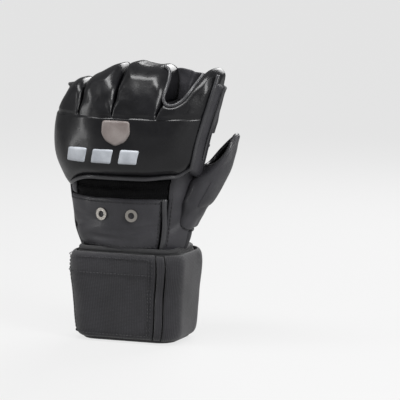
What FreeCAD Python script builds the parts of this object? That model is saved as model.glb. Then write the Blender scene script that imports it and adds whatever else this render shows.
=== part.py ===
import FreeCAD, Part
import math
import os
import Sketcher

# A left-hand grappling glove, in millimetres. +Z points along the fingers, -Y out of the back of the
# hand, +X towards the thumb. The origin is the middle of the cuff's lower edge, on which it stands.

os.makedirs("parts", exist_ok=True)
doc = FreeCAD.newDocument("Glove")
sheet = doc.addObject("Spreadsheet::Sheet", "Dims")
Vector = FreeCAD.Vector
FINGERS = ("pinky", "ring", "middle", "index")

# The driving dimensions. A form's rows are height, middle x, middle y, half width and half depth.
DIMENSIONS = {
    # cuff: the outer surface of the closing strap, and the layers under it, measured inward
    "cuff_half_width": 48, "cuff_half_depth": 32, "cuff_corner": 16,
    "band_thick": 2.6, "wrap_in": 2.9, "wrap_thick": 2.1,
    "hook_in": 2.9, "hook_thick": 0.9, "loop_in": 4.1, "loop_thick": 0.9,
    "shell_in": 5.3, "shell_thick": 4.5, "lining_in": 10.1, "lining_thick": 1.0,
    "band_low": 1.5, "band_high": 73, "hem_high": 2.7, "shell_low": 3, "shell_high": 72,
    "trim_low": 72.3, "trim_high": 74.6, "patch_low": 10, "patch_high": 64, "loop_end": 24,
    "side_start": 36, "tip_end": 24, "pull_length": 5, "gap": 0.3,
    # hand: wall layers and the heights where one panel ends and the next begins
    "leather": 2, "lining_wall": 1.2, "neck_low": 75.3, "neck_high": 115, "flex_high": 131,
    "knuckle_high": 182.5, "eyelet_height": 103, "eyelet_left": -18.5, "eyelet_right": 8,
    "eyelet_hole": 2.6, "eyelet_flange": 5, "eyelet_barrel": 3.4,
    "window_left": 22, "window_low": 86, "window_high": 160, "binding_width": 4,
    "gate_left": 42, "gate_front": -10, "gate_low": 92, "gate_high": 158,
    # raised trims of the hand: distance of their outer face from the hand's surface, and thickness
    "trim_out": 1.8, "trim_thick": 1.5, "roll_out": 2.8, "roll_thick": 2.5, "roll_left": 28, "roll_right": 33,
    # pad
    "pad_low": 132.2, "pad_high": 183, "pad_wall": 2, "pad_turn": -6.7, "pad_edge": 0,
    # thumb
    "thumb_base_x": 46, "thumb_base_y": 10, "thumb_base_z": 92, "thumb_tilt": 23,
    "thumb_length": 82, "thumb_clear": 4, "thumb_mouth": 64, "thumb_mouth_turn": 52,
    # fingers: base point of the axis, sideways tilt and lean towards the palm in degrees
    "finger_lean": 8, "sleeve_half_width": 11.5, "sleeve_wall": 1.8, "sleeve_low": 6, "sleeve_length": 21,
    "lobe_low": 184.3, "lobe_back": -8.7, "web_high": 184, "passage_half": 7.5,
}
HAND = ((75, 0, 0, 48, 29), (100, -1, 0, 49, 28), (125, -2, 0, 51, 27), (150, 2, 0, 56, 25),
        (184, 5, 0, 60, 22))
PAD = ((126, 0, -8, 54, 34), (140, 2, -9, 61, 41), (165, 2, -9, 66, 43), (184, 4, -8, 66, 40))
DOME = ((180, 4, -8, 67, 41), (200, 5, -6, 67, 36), (216, 6, -3, 62, 28), (234, 7, 0, 50, 16))
FINGER_SIZES = {"pinky": (-43, 185.5, -12, 14, 26), "ring": (-13.5, 185, -6, 14, 36),
                "middle": (18.5, 185, -1, 16.5, 41), "index": (55, 187, 15, 13, 38)}
for name, (base_x, base_z, tilt, half_width, length) in FINGER_SIZES.items():
    DIMENSIONS.update({name + "_x": base_x, name + "_z": base_z, name + "_tilt": tilt,
                       name + "_half_width": half_width, name + "_length": length})
for name, rows in (("hand", HAND), ("pad", PAD), ("dome", DOME)):
    for number, row in enumerate(rows, 1):
        for word, value in zip(("height", "mid_x", "mid_y", "half_width", "half_depth"), row):
            DIMENSIONS[f"{name}_{word}_{'abcde'[number - 1]}"] = value
for line, (alias, value) in enumerate(DIMENSIONS.items(), 1):
    sheet.set(f"A{line}", alias)
    sheet.set(f"B{line}", str(value))
    sheet.setAlias(f"B{line}", alias)
doc.recompute()
nodes = {}
shared = {}


def size(alias):
    return float(sheet.get(alias))


def bind(thing, **values):
    """Binds properties to expressions; an underscore in a keyword stands for a dot."""
    for key, value in values.items():
        thing.setExpression(key.replace("_", "."), str(value))
    return thing


def value_of(expression):
    """The number that an expression of sheet cells comes to."""
    total = sheet.evalExpression(str(expression))
    return float(getattr(total, "Value", total))


def ring(name, row, grow):
    """One elliptical section of a form; the longer radius may lie along X or Y."""
    height, middle_x, middle_y, half_width, half_depth = row
    section = doc.addObject("Part::Ellipse", name)
    deep = value_of(half_depth) > value_of(half_width)
    section.Placement = FreeCAD.Placement(Vector(), FreeCAD.Rotation(Vector(0, 0, 1), 90 if deep else 0))
    longer, shorter = (half_depth, half_width) if deep else (half_width, half_depth)
    section.MajorRadius = value_of(longer) + grow
    section.MinorRadius = value_of(shorter) + grow
    bind(section, MajorRadius=f"{longer} + {grow}", MinorRadius=f"{shorter} + {grow}")
    bind(section, Placement_Base_x=middle_x, Placement_Base_y=middle_y, Placement_Base_z=height)
    return section


def loft(name, rows, grow=0.0, placement=None):
    """A solid through a form's sections, each grown outward by the same amount."""
    key = (name, grow)
    if key not in shared:
        solid = doc.addObject("Part::Loft", f"{name}_form")
        solid.Sections = [ring(f"{name}_section", row, grow) for row in rows]
        solid.Solid = True
        if placement:
            solid.Placement = placement
        shared[key] = solid
    return shared[key]


def rows_of(name, count):
    words = ("height", "mid_x", "mid_y", "half_width", "half_depth")
    return [tuple(f"Dims.{name}_{word}_{letter}" for word in words) for letter in "abcde"[:count]]


def hand(grow=0.0):
    return loft("hand", rows_of("hand", 5), grow)


def pad(grow=0.0):
    return loft("pad", rows_of("pad", 4), grow)


def block(x, y, z, placement=None):
    """A box between two corners, each coordinate an expression."""
    box = doc.addObject("Part::Box", "block")
    bind(box, Length=f"({x[1]}) - ({x[0]})", Width=f"({y[1]}) - ({y[0]})", Height=f"({z[1]}) - ({z[0]})")
    if placement:
        corner = Vector(value_of(x[0]), value_of(y[0]), value_of(z[0]))
        box.Placement = placement.multiply(FreeCAD.Placement(corner, FreeCAD.Rotation()))
    else:
        bind(box, Placement_Base_x=x[0], Placement_Base_y=y[0], Placement_Base_z=z[0])
    return box


def cut(base, *tools):
    for tool in tools:
        result = doc.addObject("Part::Cut", "cut")
        result.Base = base
        result.Tool = tool
        base = result
    return base


def common(*parts):
    result = doc.addObject("Part::MultiCommon", "common")
    result.Shapes = list(parts)
    return result


def node(label, result):
    result.Label = label
    nodes[label] = result
    return result


def slab(low, high):
    """Everything between two heights."""
    return block(("-150", "150"), ("-150", "150"), (low, high))


def back_half(low, high):
    return block(("-150", "150"), ("-150", "-Dims.gap / 2"), (low, high))


def palm_half(low, high):
    return block(("-150", "150"), ("Dims.gap / 2", "150"), (low, high))


# ---- cuff ---------------------------------------------------------------------------------------

def rounded_outline(sketch, half_width, half_depth, corner, inward):
    """A rounded rectangle about the sketch's origin, bound to the sheet."""
    wide, deep, radius = (value_of(v) - value_of(inward) for v in (half_width, half_depth, corner))
    corners = ((1, 1, 0), (-1, 1, 90), (-1, -1, 180), (1, -1, 270))
    arcs = []
    for side_x, side_y, start in corners:
        centre = Vector(side_x * (wide - radius), side_y * (deep - radius), 0)
        circle = Part.Circle(centre, Vector(0, 0, 1), radius)
        arc = Part.ArcOfCircle(circle, math.radians(start), math.radians(start + 90))
        arcs.append(sketch.addGeometry(arc))
    lines = []
    for number in range(4):
        start = sketch.Geometry[arcs[number]].EndPoint
        end = sketch.Geometry[arcs[(number + 1) % 4]].StartPoint
        lines.append(sketch.addGeometry(Part.LineSegment(start, end)))
    add = sketch.addConstraint
    for number in range(4):
        add(Sketcher.Constraint("Tangent", arcs[number], 2, lines[number], 1))
        add(Sketcher.Constraint("Tangent", lines[number], 2, arcs[(number + 1) % 4], 1))
    add([Sketcher.Constraint("Equal", arcs[0], arcs[number]) for number in (1, 2, 3)])
    add([Sketcher.Constraint("Horizontal", lines[0]), Sketcher.Constraint("Horizontal", lines[2])])
    add([Sketcher.Constraint("Vertical", lines[1]), Sketcher.Constraint("Vertical", lines[3])])
    sizes = ((Sketcher.Constraint("Radius", arcs[0], radius), f"{corner} - {inward}"),
             (Sketcher.Constraint("DistanceY", -1, 1, lines[0], 1, deep), f"{half_depth} - {inward}"),
             (Sketcher.Constraint("DistanceY", lines[2], 1, -1, 1, deep), f"{half_depth} - {inward}"),
             (Sketcher.Constraint("DistanceX", -1, 1, lines[3], 1, wide), f"{half_width} - {inward}"),
             (Sketcher.Constraint("DistanceX", lines[1], 1, -1, 1, wide), f"{half_width} - {inward}"))
    for constraint, expression in sizes:
        index = add(constraint)
        sketch.setExpression(f"Constraints[{index}]", expression)


def cuff_layer(name, inward, thick, low, high):
    """A closed layer of the cuff: a body padded from a sketch of two rounded outlines."""
    body = doc.addObject("PartDesign::Body", name)
    sketch = body.newObject("Sketcher::SketchObject", name + "_sketch")
    plane = [feature for feature in body.Origin.OriginFeatures if feature.Role == "XY_Plane"][0]
    sketch.AttachmentSupport = [(plane, "")]
    sketch.MapMode = "FlatFace"
    bind(sketch, AttachmentOffset_Base_z=low)
    for depth in (inward, f"({inward} + {thick})"):
        rounded_outline(sketch, "Dims.cuff_half_width", "Dims.cuff_half_depth", "Dims.cuff_corner", depth)
    doc.recompute()
    raised = body.newObject("PartDesign::Pad", name + "_pad")
    raised.Profile = sketch
    bind(raised, Length=f"({high}) - ({low})")
    doc.recompute()
    return body


def build_cuff():
    node("cuff_lining", cuff_layer("lining", "Dims.lining_in", "Dims.lining_thick",
                                   "Dims.shell_low", "Dims.shell_high"))
    node("cuff_shell", cuff_layer("shell", "Dims.shell_in", "Dims.shell_thick",
                                  "Dims.shell_low", "Dims.shell_high"))
    depth = "(Dims.lining_in + Dims.lining_thick - Dims.wrap_in)"
    node("cuff_hem", cuff_layer("hem", "Dims.wrap_in", depth, "0", "Dims.hem_high"))
    node("cuff_top", cuff_layer("trim", "Dims.wrap_in", depth, "Dims.trim_low", "Dims.trim_high"))

    both, back, tall = ("-60", "60"), ("-60", "0"), ("-1", "80")
    side = block(("Dims.side_start + Dims.gap", "60"), both, tall)
    free = block(("Dims.side_start", "60"), both, tall)
    landing = block(("Dims.tip_end - Dims.gap", "60"), back, tall)
    band = cuff_layer("band", "0", "Dims.band_thick", "Dims.band_low", "Dims.band_high")
    wrap = cuff_layer("wrap", "Dims.wrap_in", "Dims.wrap_thick", "Dims.shell_low", "Dims.shell_high")
    hook = cuff_layer("hook", "Dims.hook_in", "Dims.hook_thick", "Dims.patch_low", "Dims.patch_high")
    loop = cuff_layer("loop", "Dims.loop_in", "Dims.loop_thick", "Dims.patch_low", "Dims.patch_high")
    node("wrist_strap", cut(band, free, landing))
    node("cuff_wrap", cut(wrap, free, landing))
    node("strap_side_band", common(band, side))
    pull_edge = "Dims.tip_end + Dims.pull_length"
    pull = block(("Dims.tip_end", pull_edge), back, tall)
    rest = block((pull_edge + " + Dims.gap", "Dims.side_start"), back, tall)
    node("strap_pull", common(band, pull))
    node("strap_tip_band", common(band, rest))
    node("strap_hook", common(hook, side))
    node("strap_tip_hook", common(hook, rest))
    field = block(("Dims.tip_end", "60"), ("-60", "Dims.loop_end"), tall)
    node("loop_patch", common(loop, field))


# ---- hand ---------------------------------------------------------------------------------------

def hand_wall(outer, thick):
    """A layer of the hand between two offsets of its outer form."""
    key = ("wall", outer, thick)
    if key not in shared:
        shared[key] = cut(hand(outer), hand(outer - thick))
    return shared[key]


def build_hand():
    leather = size("leather")
    lining_out = -leather - size("gap")
    gate = block(("Dims.gate_left", "90"), ("Dims.gate_front", "60"), ("Dims.gate_low", "Dims.gate_high"))
    window = block(("Dims.window_left", "90"), ("0", "60"), ("Dims.window_low", "Dims.window_high"))
    outer = hand_wall(0.0, leather)

    barrels, pieces = [], []
    # each eyelet's turn makes it square to the panel where it sits
    for side, turn in (("left", -14), ("right", 7)):
        place = f"Dims.eyelet_{side}"
        across = size(f"eyelet_{side}") / size("hand_half_width_b")
        surface = -size("hand_half_depth_b") * math.sqrt(1 - across ** 2)
        centre = Vector(value_of(place), surface, size("eyelet_height"))
        spin = FreeCAD.Rotation(Vector(0, 0, 1), turn).multiply(FreeCAD.Rotation(Vector(1, 0, 0), 90))
        for radius, start, end, keep in (("Dims.eyelet_barrel + Dims.gap", -8, 8, barrels),
                                         ("Dims.eyelet_barrel", -4.3, 0.6, pieces),
                                         ("Dims.eyelet_flange", 0.6, 1.5, pieces)):
            pin = doc.addObject("Part::Cylinder", "eyelet_turn")
            bind(pin, Radius=radius, Height=end - start)
            pin.Placement = FreeCAD.Placement(centre, spin).multiply(
                FreeCAD.Placement(Vector(0, 0, start), FreeCAD.Rotation()))
            keep.append(pin)
        bore = doc.addObject("Part::Cylinder", "eyelet_bore")
        bind(bore, Radius="Dims.eyelet_hole", Height=20)
        bore.Placement = FreeCAD.Placement(centre, spin).multiply(
            FreeCAD.Placement(Vector(0, 0, -10), FreeCAD.Rotation()))
        barrels.append(bore)
    eyelets = doc.addObject("Part::MultiFuse", "eyelets")
    eyelets.Shapes = pieces
    node("vent_eyelets", cut(eyelets, barrels[1], barrels[3]))

    node("back_panel", cut(common(outer, back_half("Dims.neck_low", "Dims.neck_high")),
                           gate, barrels[0], barrels[2]))
    node("flex_band", cut(common(outer, back_half("Dims.neck_high + Dims.gap", "Dims.flex_high")), gate))
    node("knuckle_panel", cut(common(outer, back_half("Dims.flex_high + Dims.gap",
                                                      "Dims.knuckle_high")), gate))
    node("palm_panel", cut(common(outer, palm_half("Dims.neck_low", "Dims.knuckle_high")), gate, window))
    lining = hand_wall(lining_out, size("lining_wall"))
    node("hand_lining", cut(common(lining, slab("Dims.neck_low", "Dims.knuckle_high")),
                            gate, window, barrels[0], barrels[2]))

    raised = hand_wall(size("trim_out"), size("trim_thick"))
    node("palm_grip", common(raised, grip_prism()))
    edge = block(("Dims.window_left - Dims.binding_width", "Dims.window_left"), ("0", "60"),
                 ("Dims.window_low", "Dims.window_high"))
    node("palm_binding", common(raised, edge))
    hems = doc.addObject("Part::MultiFuse", "hems")
    hems.Shapes = [block(("-43", "16"), ("0", "60"), (low, high)) for low, high in (("78", "81"),
                                                                                    ("88", "91"))]
    node("palm_hem", common(raised, hems))
    node("index_side_panel", common(raised, block(("40", "90"), ("-6", "9"), ("160.3", "182.5"))))
    roll = block(("Dims.roll_left", "Dims.roll_right"), ("-60", "-10"), ("76", "114"))
    node("back_roll", common(hand_wall(size("roll_out"), size("roll_thick")), roll))


def grip_prism():
    """The tongue of the palm's grip patch, leaning to the little finger at its lower end."""
    body = doc.addObject("PartDesign::Body", "tongue")
    sketch = body.newObject("Sketcher::SketchObject", "tongue_sketch")
    plane = [feature for feature in body.Origin.OriginFeatures if feature.Role == "XZ_Plane"][0]
    sketch.AttachmentSupport = [(plane, "")]
    sketch.MapMode = "FlatFace"
    left_low, right_low, right_high, left_high = (-40, 98), (-9, 98), (2, 142), (-27, 142)
    top = (-12, 154)
    arc = Part.Arc(Vector(*right_high, 0), Vector(*top, 0), Vector(*left_high, 0))
    sketch.addGeometry(arc)
    points = (left_high, left_low, right_low, right_high)
    for start, end in zip(points, points[1:]):
        sketch.addGeometry(Part.LineSegment(Vector(*start, 0), Vector(*end, 0)))
    doc.recompute()
    raised = body.newObject("PartDesign::Pad", "tongue_pad")
    raised.Profile = sketch
    raised.Length = 120
    raised.Reversed = True
    doc.recompute()
    if raised.Shape.BoundBox.YMax < 60:
        raised.Reversed = False
        doc.recompute()
    return body


# ---- knuckle pad --------------------------------------------------------------------------------

def front_of(offset, low, high):
    """The space in front of the pad's slanted back edge, between two heights."""
    turn = FreeCAD.Placement(Vector(), FreeCAD.Rotation(Vector(0, 0, 1), size("pad_turn")))
    return block(("-150", "150"), ("-150", f"Dims.pad_edge + {offset}"), (low, high), turn)


def build_pad():
    gap = size("gap")
    wall = size("pad_wall")
    low, high = "Dims.pad_low", "Dims.pad_high"
    core = common(pad(-wall), slab(f"{low} + {wall}", f"{high} - {wall}"))
    node("knuckle_cover", cut(common(pad(), front_of(0, low, high)), core, hand(gap)))
    inner = (f"{low} + {wall} + {gap}", f"{high} - {wall} - {gap}")
    node("knuckle_foam", cut(common(pad(-wall - gap), front_of(0, *inner)), hand(2.1)))
    backing = hand_wall(size("trim_out"), size("trim_thick"))
    node("pad_backing", common(backing, front_of(0, *inner), pad(-wall - gap)))
    piping = cut(pad(1.0), pad(-2.0), hand(gap))
    node("pad_piping", common(piping, front_of(0, "129", "Dims.pad_low - Dims.gap")))
    mark = cut(pad(1.1), pad(0.3))
    bar = block(("-43", "25"), ("-80", "-20"), ("145", "160"))
    badge = block(("-9", "16"), ("-80", "-20"), ("163", "180"))
    node("pad_bar", common(mark, bar))
    node("pad_badge", common(mark, badge))


# ---- fingers ------------------------------------------------------------------------------------

def finger_placement(name):
    sideways = FreeCAD.Rotation(Vector(0, 1, 0), size(name + "_tilt"))
    lean = FreeCAD.Rotation(Vector(1, 0, 0), -size("finger_lean"))
    base = Vector(size(name + "_x"), 0, size(name + "_z"))
    return FreeCAD.Placement(base, sideways.multiply(lean))


def dome(grow=0.0):
    """The rounded form that the four padded lobes are cut from."""
    return loft("dome", rows_of("dome", 4), grow)


def tombstone(name, inset, place):
    """A finger's outline seen from the front: straight sides and a round top, run through in depth."""
    wide = f"(Dims.{name}_half_width - {inset})"
    centre = f"(Dims.{name}_length - Dims.{name}_half_width)"
    shaft = block((f"-{wide}", wide), ("-90", "40"), ("-20", centre), place)
    crown = doc.addObject("Part::Cylinder", "crown")
    bind(crown, Radius=wide, Height=130)
    top = FreeCAD.Placement(Vector(0, 40, value_of(centre)), FreeCAD.Rotation(Vector(1, 0, 0), 90))
    crown.Placement = place.multiply(top)
    result = doc.addObject("Part::MultiFuse", "tombstone")
    result.Shapes = [shaft, crown]
    return result


def build_finger(name):
    """A finger loop with its padded lobe, tilted about its own base point."""
    place = finger_placement(name)
    gap, wall = size("gap"), size("pad_wall")
    rows = [("-9", "0", "5", "Dims.sleeve_half_width", "13"),
            ("Dims.sleeve_length + 30", "0", "5", "Dims.sleeve_half_width", "13")]
    tube, bore = [loft(name + "_tube", rows, grow, place) for grow in (0.0, -size("sleeve_wall"))]
    front = block(("-40", "40"), ("-90", "Dims.lobe_back"), ("-20", "60"), place)
    core = common(dome(-wall), tombstone(name, wall, place), slab(f"Dims.lobe_low + {wall}", "250"), front)
    outside = common(dome(), tombstone(name, 0, place), slab("Dims.lobe_low", "250"), front)
    node(name + "_cover", cut(outside, core))
    node(name + "_foam", common(dome(-wall - gap), tombstone(name, wall + gap, place),
                                slab(f"Dims.lobe_low + {wall + gap}", "250"), front))
    ring_wall = cut(tube, bore)
    lower = block(("-40", "40"), ("-40", "40"), ("Dims.sleeve_low", "Dims.sleeve_length"), place)
    upper = block(("-40", "40"), ("-40", "40"), ("Dims.sleeve_length + Dims.gap",
                                                 "Dims.sleeve_length + 2.5"), place)
    node(name + "_sleeve", common(ring_wall, lower))
    node(name + "_binding", common(ring_wall, upper))
    return block(("-Dims.passage_half", "Dims.passage_half"), ("-3", "8"), ("-15", "15"), place)


def build_web(passages):
    """The stretch web between the fingers: it closes the hand's top around the four finger holes."""
    plate = common(hand(), slab("Dims.knuckle_high + Dims.gap", "Dims.web_high"))
    node("finger_web", cut(plate, *passages))


# ---- thumb --------------------------------------------------------------------------------------

def build_thumb():
    """The thumb's sleeve, tilted outward, with a slanted mouth and an open window on the palm side."""
    base = Vector(size("thumb_base_x"), size("thumb_base_y"), size("thumb_base_z"))
    place = FreeCAD.Placement(base, FreeCAD.Rotation(Vector(0, 1, 0), size("thumb_tilt")))
    rows = [("0", "0", "0", "13", "15"), ("Dims.thumb_length * 0.5", "0", "0", "12.5", "14.5"),
            ("Dims.thumb_length + 20", "0", "0", "11.5", "13.5")]
    outside, inside, lining_out, lining_in, guard_out, guard_in = [
        loft("thumb", rows, grow, place) for grow in (0.0, -2.0, -2.3, -3.3, 2.4, 0.3)]
    around = hand(size("thumb_clear"))
    turn = FreeCAD.Rotation(Vector(0, 1, 0), -size("thumb_mouth_turn"))
    mouth = place.multiply(FreeCAD.Placement(Vector(0, 0, size("thumb_mouth")), turn))
    rim = block(("-60", "60"), ("-60", "60"), ("-2.5", "0"), mouth)
    below = block(("-90", "90"), ("-60", "60"), ("-150", "-2.8"), mouth)
    opening = block(("-30", "6"), ("3", "60"), ("-10", "44"), place)
    node("thumb_binding", cut(common(outside, rim), inside))
    node("thumb_sleeve", cut(common(outside, below), inside, opening, around))
    node("thumb_lining", cut(common(lining_out, below), lining_in, opening, around))
    guard = block(("-2", "60"), ("-60", "8"), ("22", "74"), place)
    node("thumb_guard", cut(common(guard_out, guard, below), guard_in, around))


build_cuff()
build_hand()
build_pad()
build_web([build_finger(finger) for finger in FINGERS])
build_thumb()
doc.recompute()

faults = [thing.Name for thing in doc.Objects if {"Invalid", "Error"} & set(thing.State)]
for label, thing in nodes.items():
    if thing.Shape.isNull() or not thing.Shape.isValid() or not thing.Shape.Solids:
        faults.append(label)
if faults:
    raise SystemExit("failed objects: " + ", ".join(faults))
for label, thing in nodes.items():
    thing.Shape.exportStep(f"parts/{label}.step")
    print(label, len(thing.Shape.Solids), round(thing.Shape.Volume))
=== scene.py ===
import math

import bpy
import numpy as np
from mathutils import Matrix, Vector, noise


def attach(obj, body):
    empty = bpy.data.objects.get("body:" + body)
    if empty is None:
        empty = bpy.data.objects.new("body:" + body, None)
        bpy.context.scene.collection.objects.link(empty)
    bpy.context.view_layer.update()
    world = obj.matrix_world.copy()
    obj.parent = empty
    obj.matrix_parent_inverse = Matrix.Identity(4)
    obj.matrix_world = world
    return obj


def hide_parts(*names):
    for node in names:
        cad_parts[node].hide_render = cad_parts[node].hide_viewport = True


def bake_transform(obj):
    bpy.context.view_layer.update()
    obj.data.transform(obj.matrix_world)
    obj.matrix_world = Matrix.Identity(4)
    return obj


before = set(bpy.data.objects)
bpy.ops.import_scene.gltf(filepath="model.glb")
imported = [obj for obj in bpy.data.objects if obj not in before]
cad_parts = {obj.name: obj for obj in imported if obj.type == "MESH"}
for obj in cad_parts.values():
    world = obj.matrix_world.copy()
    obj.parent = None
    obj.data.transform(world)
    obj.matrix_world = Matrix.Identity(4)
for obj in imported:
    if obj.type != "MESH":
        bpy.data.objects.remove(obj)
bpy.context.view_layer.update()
MM = 0.001

# Every length below is in millimetres in the row frame: +Z along the fingers, -Y out of the back of
# the hand, +X towards the thumb. Angles round the hand are in degrees: 0 thumb side, 90 palm,
# 180 little finger, 270 back of the hand.

# ---- materials ----


def nodes_of(name):
    made = bpy.data.materials.new(name)
    made.use_nodes = True
    tree = made.node_tree
    return made, tree, tree.nodes["Principled BSDF"]


def add(tree, kind, **values):
    node = tree.nodes.new(kind)
    for key, value in values.items():
        if hasattr(node, key):
            setattr(node, key, value)
        else:
            node.inputs[key.replace("_", " ")].default_value = value
    return node


def ramp(tree, source, low, high, first=0.3, last=0.7):
    node = tree.nodes.new("ShaderNodeValToRGB")
    node.color_ramp.elements[0].position = first
    node.color_ramp.elements[1].position = last
    node.color_ramp.elements[0].color = (*low, 1)
    node.color_ramp.elements[1].color = (*high, 1)
    tree.links.new(source, node.inputs["Fac"])
    return node.outputs["Color"]


def mixed(tree, kind, factor, first, second):
    node = tree.nodes.new("ShaderNodeMixRGB")
    node.blend_type = kind
    for socket, value in (("Fac", factor), ("Color1", first), ("Color2", second)):
        if hasattr(value, "is_linked"):
            tree.links.new(value, node.inputs[socket])
        elif isinstance(value, tuple):
            node.inputs[socket].default_value = (*value, 1)
        else:
            node.inputs[socket].default_value = value
    return node.outputs["Color"]


def grey(value):
    return (value, value, value)


def surface(name, low, high, rough, patch=28, wear=None, coat=0.0, coat_rough=0.15, sheen=0.0,
            metallic=0.0, specular=0.5):
    """A material whose colour drifts between two tones, lightens on raised edges and varies in gloss."""
    made, tree, shader = nodes_of(name)
    place = tree.nodes.new("ShaderNodeTexCoord").outputs["Object"]
    drift = add(tree, "ShaderNodeTexNoise", Scale=patch, Detail=6.0, Roughness=0.6)
    tree.links.new(place, drift.inputs["Vector"])
    colour = ramp(tree, drift.outputs["Fac"], low, high)
    if wear:
        point = tree.nodes.new("ShaderNodeNewGeometry").outputs["Pointiness"]
        edge = ramp(tree, point, grey(0), grey(1), 0.52, 0.6)
        colour = mixed(tree, "MIX", edge, colour, wear)
    tree.links.new(colour, shader.inputs["Base Color"])
    scuff = add(tree, "ShaderNodeTexNoise", Scale=patch * 5, Detail=8.0, Roughness=0.7)
    tree.links.new(place, scuff.inputs["Vector"])
    shine = ramp(tree, scuff.outputs["Fac"], grey(rough - 0.07), grey(rough + 0.09), 0.35, 0.68)
    tree.links.new(shine, shader.inputs["Roughness"])
    shader.inputs["Metallic"].default_value = metallic
    shader.inputs["Specular IOR Level"].default_value = specular
    shader.inputs["Coat Weight"].default_value = coat
    shader.inputs["Coat Roughness"].default_value = coat_rough
    shader.inputs["Sheen Weight"].default_value = sheen
    return made, tree, shader, place


def emboss(tree, shader, height, strength, depth):
    bump = add(tree, "ShaderNodeBump", Strength=strength, Distance=depth * MM)
    tree.links.new(height, bump.inputs["Height"])
    tree.links.new(bump.outputs["Normal"], shader.inputs["Normal"])


def leather(name, low, high, rough, cell=0.9, strength=0.35, **values):
    """Pebbled leather: small cells with finer pores between them."""
    made, tree, shader, place = surface(name, low, high, rough, **values)
    cells = add(tree, "ShaderNodeTexVoronoi", Scale=1000 / cell, Randomness=1.0)
    cells.feature = "SMOOTH_F1"
    pores = add(tree, "ShaderNodeTexNoise", Scale=2600 / cell, Detail=3.0)
    soft = add(tree, "ShaderNodeTexNoise", Scale=90.0, Detail=3.0)
    for node in (cells, pores, soft):
        tree.links.new(place, node.inputs["Vector"])
    height = mixed(tree, "ADD", 0.35, cells.outputs["Distance"], pores.outputs["Fac"])
    height = mixed(tree, "ADD", 0.9, height, soft.outputs["Fac"])
    emboss(tree, shader, height, strength, 0.35)
    return made


def woven(name, low, high, rough, across=1.3, along=1.3, strength=0.6, fuzz=0.0, **values):
    """Knit or webbing: two crossed sets of ribs that follow the piece's own length and height."""
    made, tree, shader, place = surface(name, low, high, rough, **values)
    flat = tree.nodes.new("ShaderNodeTexCoord").outputs["UV"]
    ribs = []
    for direction, period in (("X", across), ("Y", along)):
        rib = add(tree, "ShaderNodeTexWave", Scale=math.pi / 10 / (period * MM), Distortion=0.4,
                  bands_direction=direction)
        tree.links.new(flat, rib.inputs["Vector"])
        ribs.append(rib.outputs["Fac"])
    height = mixed(tree, "MULTIPLY", 1.0, ribs[0], ribs[1])
    if fuzz:
        hair = add(tree, "ShaderNodeTexNoise", Scale=1700.0, Detail=5.0)
        tree.links.new(place, hair.inputs["Vector"])
        height = mixed(tree, "MIX", fuzz, height, hair.outputs["Fac"])
    emboss(tree, shader, height, strength, 0.5)
    # The base colour is multiplied by the rib height, so the valleys between the ribs are darker: painted
    # shade in the weave.
    base = shader.inputs["Base Color"].links[0].from_socket
    shade = mixed(tree, "MULTIPLY", 0.55, base, height)
    tree.links.new(shade, shader.inputs["Base Color"])
    return made


GLOSS = leather("gloss_leather", (0.0045, 0.0045, 0.0055), (0.012, 0.012, 0.014), 0.34, cell=1.1,
                strength=0.2, wear=(0.035, 0.035, 0.038), coat=0.4, coat_rough=0.16, specular=0.35)
PANEL = leather("panel_leather", (0.036, 0.036, 0.041), (0.072, 0.07, 0.079), 0.46, cell=1.0,
                strength=0.4, wear=(0.11, 0.11, 0.115), coat=0.1)
PALM = leather("palm_leather", (0.016, 0.016, 0.019), (0.036, 0.035, 0.041), 0.52, cell=0.8,
               strength=0.45, wear=(0.08, 0.08, 0.085))
PIPING = leather("piping_leather", (0.03, 0.03, 0.034), (0.065, 0.065, 0.07), 0.34, cell=0.6,
                 strength=0.25, coat=0.3, wear=(0.16, 0.16, 0.165))
BINDING = woven("binding_tape", (0.035, 0.035, 0.038), (0.07, 0.07, 0.074), 0.6, across=0.9, along=0.7,
                strength=0.4, sheen=0.2)
MESH = woven("stretch_mesh", (0.004, 0.004, 0.005), (0.011, 0.011, 0.012), 0.8, across=1.7, along=1.4,
             strength=0.9, specular=0.2)
LINING = woven("lining_knit", (0.006, 0.006, 0.007), (0.014, 0.014, 0.015), 0.85, across=1.0,
               along=1.0, strength=0.4, fuzz=0.3, specular=0.2)
BAND = woven("strap_webbing", (0.02, 0.0195, 0.025), (0.046, 0.044, 0.054), 0.62, across=1.5, along=1.1,
             strength=0.7, fuzz=0.25, sheen=0.35, wear=(0.08, 0.08, 0.085))
SHELL = woven("cuff_neoprene", (0.016, 0.016, 0.018), (0.032, 0.032, 0.035), 0.72, across=0.9,
              along=0.9, strength=0.35, fuzz=0.4, sheen=0.2)
HOOK = woven("hook_tape", (0.012, 0.012, 0.013), (0.03, 0.03, 0.032), 0.45, across=1.2, along=1.2,
             strength=1.0)
LOOP = woven("loop_tape", (0.012, 0.012, 0.013), (0.034, 0.034, 0.036), 0.95, across=2.2, along=2.2,
             strength=0.8, fuzz=0.85, sheen=0.6)
THREAD = woven("thread", (0.05, 0.05, 0.054), (0.1, 0.1, 0.106), 0.55, across=0.4, along=0.4,
               strength=0.3)
PALE = leather("print_pale", (0.46, 0.49, 0.54), (0.78, 0.82, 0.88), 0.4, cell=1.1, strength=0.2,
               patch=60, coat=0.3)
WARM = leather("print_warm", (0.2, 0.165, 0.155), (0.36, 0.32, 0.305), 0.42, cell=1.1, strength=0.2,
               patch=60, coat=0.3)
EYELET, eyelet_tree, eyelet_shader, eyelet_place = surface(
    "eyelet_metal", (0.16, 0.14, 0.12), (0.36, 0.33, 0.3), 0.34, patch=200, metallic=0.9,
    wear=(0.55, 0.52, 0.48))
scratches = add(eyelet_tree, "ShaderNodeTexNoise", Scale=1500.0, Detail=6.0)
eyelet_tree.links.new(eyelet_place, scratches.inputs["Vector"])
emboss(eyelet_tree, eyelet_shader, scratches.outputs["Fac"], 0.3, 0.1)

# ---- mesh tools ----


SUBDIVIDE = ("SUBSURF", {"levels": 1, "render_levels": 1})


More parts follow.
